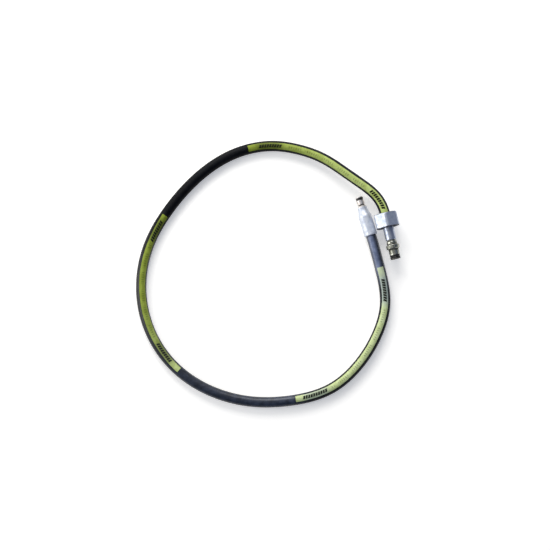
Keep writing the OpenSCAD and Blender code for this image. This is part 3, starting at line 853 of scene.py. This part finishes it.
# The three zinc finishes are one plating. Their tones differ to match how brightly each part is lit: the
# plug's sleeve has the lightest and the union's sleeve the darkest, as painted light and shade.
metal("plug_zinc", (222, 226, 234), (194, 201, 214), (246, 247, 250), (0.44, 0.56), metallic=0.6)
metal("union_zinc", (184, 190, 203), (146, 154, 170), (240, 242, 246), (0.34, 0.46))
metal("nut_zinc", (204, 209, 220), (174, 182, 198), (246, 247, 250), (0.38, 0.5), lines=0.15, metallic=0.9)
metal("plug_steel", (236, 232, 229), (190, 180, 172), (250, 249, 247), (0.32, 0.46), wear=0.6,
      cloud_scale=420.0, metallic=0.8, hollow_darkening=1.0)
metal("stem_steel", (186, 187, 175), (82, 84, 70), (240, 241, 236), (0.28, 0.42), wear=0.6,
      cloud_scale=420.0)
metal("slip_brass", (226, 196, 128), (188, 152, 84), (245, 225, 170), (0.25, 0.4))

# %% [markdown]
# ## Rubber and hard plastic
#
# Rubber looks black, yet it is a dark grey with a wide, weak shine. Lists of stops along the hose say
# how pale and dusty the rubber is, which is dust and also painted light where the light falls brighter,
# and how much thin oily gloss a wiped stretch keeps. Beside the plug, a bluish highlight is painted
# along the upper side. On the rubber lies the painted line: a band one fifth of the way round, in three
# lengths with bare hose between them. The paint turns pale on some stretches, as painted sheen, darkens
# on others, as painted shade and as smudged ink round the bold bars, and turns bluish grey over two
# rows of bars, as painted sheen. Near both ends of each length stands a row of bold bars, and fine
# marks in groups run along the middle.

# %% Tones and stops of the cover
FRESH_TONES, DUSTY_LIT_TONES = ((3, 4, 6), (11, 13, 18)), ((50, 58, 76), (86, 97, 122))
HIGHLIGHT_TONES = (92, 104, 132), (122, 134, 164)
BRIGHT_TONES, PALE_SHEEN_TONES = ((152, 168, 48), (178, 196, 74)), ((192, 205, 148), (216, 228, 182))
SHADE_AND_INK_TONE, SHEEN_GREY_TONE, INK_TONE = (54, 62, 24), (150, 162, 168), (24, 28, 14)
LINE_SPANS = [(0, 196), (325, 526.5), (672, 881)]
LINE_HALF_STOPS = [(0, 0.106), (196, 0.104), (330, 0.1), (470, 0.1), (490, 0.092), (526, 0.092),
                   (672, 0.1), (881, 0.1)]
BAR_PITCH, BAR_SHARE, BAR_SLANT, BAR_HALF = 3.0, 0.82, 12, 0.052
BAR_ROWS = [(3, 9), (52, 9), (111, 9), (162, 9), (227, 10), (280, 9)]
TICK_PITCH, TICK_SHARE, TICK_HALF, TICK_INK = 2.8, 0.5, 0.036, 0.55
TICK_ROWS, WORD_PITCH, WORD_SHARE = [(44, 150), (362, 482), (716, 834)], 22, 0.74
# Where the paint darkens to olive: painted shade on the dimly lit stretches, and smudged ink round the bold
# bars.
SHADE_AND_INK_STOPS = [(0, 0), (100, 0.1), (140, 0.3), (152, 0.35), (160, 0.7), (182, 0.75), (190, 0.45),
              (325, 0.45), (334, 0.75), (355, 0.7), (364, 0.4), (400, 0.38), (480, 0.36), (490, 0.65),
              (510, 0.65), (518, 0.05)]
# Where the paint turns bluish grey over two rows of bars: painted sheen.
SHEEN_GREY_STOPS = [(0, 0), (672, 0), (680, 0.1), (686, 0.5), (708, 0.5), (716, 0), (832, 0), (842, 0.75),
               (866, 0.75), (874, 0.2)]
# How pale the paint is along the hose: painted sheen, paler where the light falls brighter.
PALE_SHEEN_STOPS = [(0, 0.35), (60, 0.4), (140, 0.15), (190, 0), (430, 0), (480, 0.2), (523, 0.5), (669, 0.7),
              (760, 0.75), (836, 0.9), (879, 1)]
# How pale and dusty the bare rubber is along the hose: dust, and painted light on the brighter stretches.
DUST_AND_LIGHT_STOPS = [(0, 0.1), (180, 0), (440, 0), (520, 0.15), (535, 0.3), (560, 0.25), (640, 0.35), (668, 0.4),
              (690, 0.05), (850, 0.05), (880, 0.3)]
HIGHLIGHT_STOPS = [(0, 0), (858, 0), (884, 1)]
HIGHLIGHT_MIDDLE, HIGHLIGHT_REACH = -0.06, 0.16
SHINE_STOPS = [(0, 0), (330, 0), (380, 0.5), (560, 0.5), (665, 0.6), (685, 0.1), (850, 0.1), (884, 1)]
LINE_SOFT, FRAY_SCALES, PAINT_FRAY, TICK_FRAY = 0.02, (2600.0, 60.0), (0.18, 0.3), (0.3, 0.6)
WEAVE_SCALES, WEAVE_RELIEF = (2800.0, 18.0), 0.16 * MM
RAMP_LENGTH = 1000


# %% Patterns along the hose
def spans_mask(g, along, spans):
    """1 inside any of the spans, which are given in mm along the hose: a sum of comparisons, each 1
    where `along` is within half a span of the span's middle."""
    total = 0.0
    for low, high in spans:
        within = {0: along, 1: (low + high) / 2 * MM, 2: (high - low) / 2 * MM}
        total = g.math("ADD", g.node("ShaderNodeMath", within, operation="COMPARE").outputs[0], total)
    return total


def along_ramp(g, along, stops):
    """A value that changes smoothly along the hose, from stops of (mm, value)."""
    greys = [(place / RAMP_LENGTH, (value, value, value)) for place, value in stops]
    return g.ramp(g.math("DIVIDE", along, RAMP_LENGTH * MM), greys)


def inside_band(g, across, half, soft=0.002):
    """1 where the angle from the line's middle is under half, in turns."""
    return g.step(g.math("ABSOLUTE", across), half + soft, half - soft)


def dashes(g, along, pitch, share):
    """1 on every dash of a row with this pitch in mm, where share of the pitch is dash."""
    return g.math("LESS_THAN", g.math("FRACT", g.math("DIVIDE", along, pitch * MM)), share)


# %% The bare cover
g, shader = finish("cover_rubber", Specular_IOR_Level=0.1, Coat_Roughness=0.27)
along, across = g.uv()
cloud = g.put(clouds, Scale=160.0, Specks=0.5)["Value"]
fresh, dusty_lit = g.tones(cloud, *FRESH_TONES), g.tones(cloud, *DUSTY_LIT_TONES)
# Paler, dustier stretches: dust, and painted light where the light falls brighter.
skin = g.mix(along_ramp(g, along, DUST_AND_LIGHT_STOPS), fresh, dusty_lit)
# A painted highlight: a bluish streak along the upper side of the hose beside the plug.
from_top = g.math("ABSOLUTE", g.math("SUBTRACT", across, HIGHLIGHT_MIDDLE))
painted_highlight = g.times(along_ramp(g, along, HIGHLIGHT_STOPS), g.step(from_top, HIGHLIGHT_REACH, 0.0))
skin = g.mix(painted_highlight, skin, g.tones(cloud, *HIGHLIGHT_TONES))

# %% The painted line and its marks
share_of_half = g.math("DIVIDE", g.math("ABSOLUTE", across), along_ramp(g, along, LINE_HALF_STOPS))
in_line = g.times(spans_mask(g, along, LINE_SPANS), g.step(share_of_half, 1 + LINE_SOFT, 1 - LINE_SOFT))
fray = g.noise(g.stretched(along, across, *FRAY_SCALES), 1.0)
paint_cover = g.times(in_line, g.step(fray, *PAINT_FRAY))
bright, pale_sheen = g.tones(cloud, *BRIGHT_TONES), g.tones(cloud, *PALE_SHEEN_TONES)
paint = g.mix(along_ramp(g, along, PALE_SHEEN_STOPS), bright, pale_sheen)
# Painted shade and smudged ink darken the paint, then painted sheen turns it bluish grey.
for stops, tone in ((SHADE_AND_INK_STOPS, SHADE_AND_INK_TONE), (SHEEN_GREY_STOPS, SHEEN_GREY_TONE)):
    paint = g.mix(along_ramp(g, along, stops), paint, screen(*tone))
slid = g.math("ADD", along, g.times(across, BAR_SLANT * MM))
rows = [(BAR_PITCH * (first - 0.05), BAR_PITCH * (first + count - 0.1)) for first, count in BAR_ROWS]
row = g.times(spans_mask(g, slid, rows), inside_band(g, across, BAR_HALF))
bars = g.times(row, dashes(g, slid, BAR_PITCH, BAR_SHARE))
ticks = g.times(spans_mask(g, along, TICK_ROWS), inside_band(g, across, TICK_HALF))
for pitch, share in ((TICK_PITCH, TICK_SHARE), (WORD_PITCH, WORD_SHARE)):
    ticks = g.times(ticks, dashes(g, along, pitch, share))
ticks = g.times(ticks, g.step(fray, *TICK_FRAY))
inked = g.math("ADD", bars, g.times(ticks, TICK_INK), clamp=True)
marked = g.mix(inked, paint, screen(*INK_TONE))
g.feed(shader.inputs["Base Color"], g.mix(paint_cover, skin, marked))
g.feed(shader.inputs["Roughness"], g.range(cloud, 0.46, 0.6))
g.feed(shader.inputs["Coat Weight"], along_ramp(g, along, SHINE_STOPS))
weave = g.noise(g.stretched(along, across, *WEAVE_SCALES), 1.0, 2.0)
bump(g, shader, weave, 1.0, WEAVE_RELIEF)


# %% Seals, backup rings, liner and braid
def rubber(name, low, high, rough):
    """Plain moulded rubber or plastic: two dark tones and a little unevenness."""
    g, shader = finish(name, Specular_IOR_Level=0.3)
    cloud = g.put(clouds, Scale=600.0, Specks=0.3)["Value"]
    g.feed(shader.inputs["Base Color"], g.tones(cloud, low, high))
    g.feed(shader.inputs["Roughness"], g.range(cloud, *rough))
    bump(g, shader, cloud, 0.15, FINE_RELIEF)


rubber("seal_rubber", (8, 8, 9), (20, 20, 22), (0.3, 0.45))
rubber("backup_plastic", (16, 16, 17), (32, 32, 33), (0.4, 0.55))
rubber("liner_rubber", (18, 18, 20), (34, 34, 38), (0.5, 0.7))
metal("braid_wire", (200, 200, 204), (120, 122, 128), (235, 235, 240), (0.3, 0.5), lines=0.5)

# %% Put the finishes on
for piece, slot in slots.items():
    piece.data.materials.append(finishes[slot])

# %% [markdown]
# ## Floor and light
#
# The floor is white, and so is everything beyond it, but only to the camera and in reflections: the
# light that falls on the hose comes from a plain studio. Its left side is a bright wall and its right
# side is dim and bluish, so that the plated steel shows a bright side and a blue side. A large soft
# lamp at the top gives the shadows their direction, and a smaller one at the left lights that side of
# the fittings.

# %% Floor
FLOOR_TONE, FLOOR_HALF, FLOOR_GLOW = (250, 247, 240), 3.0, 0.38
GLOW_STARTS, GLOW_FULL = 0.5, 1.4

# A square of floor under the object, which keeps its shadow and is white to the camera. It glows a
# little by itself, and to the camera fully where the lamps no longer reach. Its faint warmth evens out
# the bluish light of the studio.
mesh = bpy.data.meshes.new("floor")
corners = FLOOR_HALF * np.array([[-1, -1], [1, -1], [1, 1], [-1, 1]]) + VIEW_CENTRE[:2]
mesh.from_pydata(np.hstack([corners, np.full((4, 1), FLOOR_Z)]), [], [[0, 1, 2, 3]])
floor = put_in_scene("floor", mesh)
g, shader = finish("floor_white", Roughness=0.9, Specular_IOR_Level=0.0)
shader.inputs["Base Color"].default_value = screen(*FLOOR_TONE)
rays = g.node("ShaderNodeLightPath").outputs
mirrored = g.math("MAXIMUM", rays["Is Glossy Ray"], rays["Is Transmission Ray"])
apart = g.node("ShaderNodeVectorMath", {0: g.place(), 1: tuple(VIEW_CENTRE)}, operation="DISTANCE")
glow = g.range(g.step(apart.outputs["Value"], GLOW_STARTS, GLOW_FULL), FLOOR_GLOW, 1.0)
seen = g.times(rays["Is Camera Ray"], glow)
reflected = g.times(mirrored, FLOOR_GLOW)
shader.inputs["Emission Color"].default_value = (1, 1, 1, 1)
g.feed(shader.inputs["Emission Strength"], g.math("MAXIMUM", seen, reflected))
mesh.materials.append(finishes["floor_white"])

# %% Light
WALL_STRENGTH = 0.6
WALL_STOPS = [(0, (1.0, 1.0, 1.0)), (0.42, (0.8, 0.81, 0.83)), (0.5, (0.6, 0.62, 0.68)),
              (0.6, (0.31, 0.38, 0.52)), (0.75, (0.13, 0.19, 0.36)), (0.92, (0.07, 0.11, 0.24))]

# The world is white to the camera, and for every other ray a wall of light that fades from the
# picture's upper left to its lower right. The ray's direction times the direction of the fade says how
# far along the fade it is, from -1 to 1, and a colour ramp turns that into light.
world = bpy.data.worlds.new("studio")
bpy.context.scene.world = world
world.use_nodes = True
g = Graph(world.node_tree)
towards_dark = unit(0.7 * picture_right - 0.7 * picture_up)
fade = g.node("ShaderNodeVectorMath", {0: g.place("Generated"), 1: tuple(towards_dark)},
              operation="DOT_PRODUCT").outputs["Value"]
share = g.math("ADD", g.times(fade, 0.5), 0.5)
seen = g.node("ShaderNodeLightPath").outputs["Is Camera Ray"]
back_light = world.node_tree.nodes["Background"].inputs
g.feed(back_light["Color"], g.mix(seen, g.ramp(share, WALL_STOPS), (1, 1, 1, 1)))
g.feed(back_light["Strength"], g.mix_value(seen, WALL_STRENGTH, 1.0))


def make_lamp(name, right, up, height, size, power):
    """A square soft lamp, placed by the picture's right and up and by its height, facing the object."""
    data = bpy.data.lights.new(name, "AREA")
    data.shape, data.size, data.energy = "SQUARE", size, power
    position = VIEW_CENTRE + right * picture_right + up * picture_up + height * straight_up
    away = unit(position - VIEW_CENTRE)
    side = unit(np.cross(picture_up, away))
    put_in_scene(name, data, axes=(side, np.cross(away, side), away), position=position)


make_lamp("window_lamp", right=-0.32, up=1.36, height=0.88, size=1.2, power=27.0)
make_lamp("left_lamp", right=-1.26, up=-0.05, height=0.6, size=0.75, power=7.0)
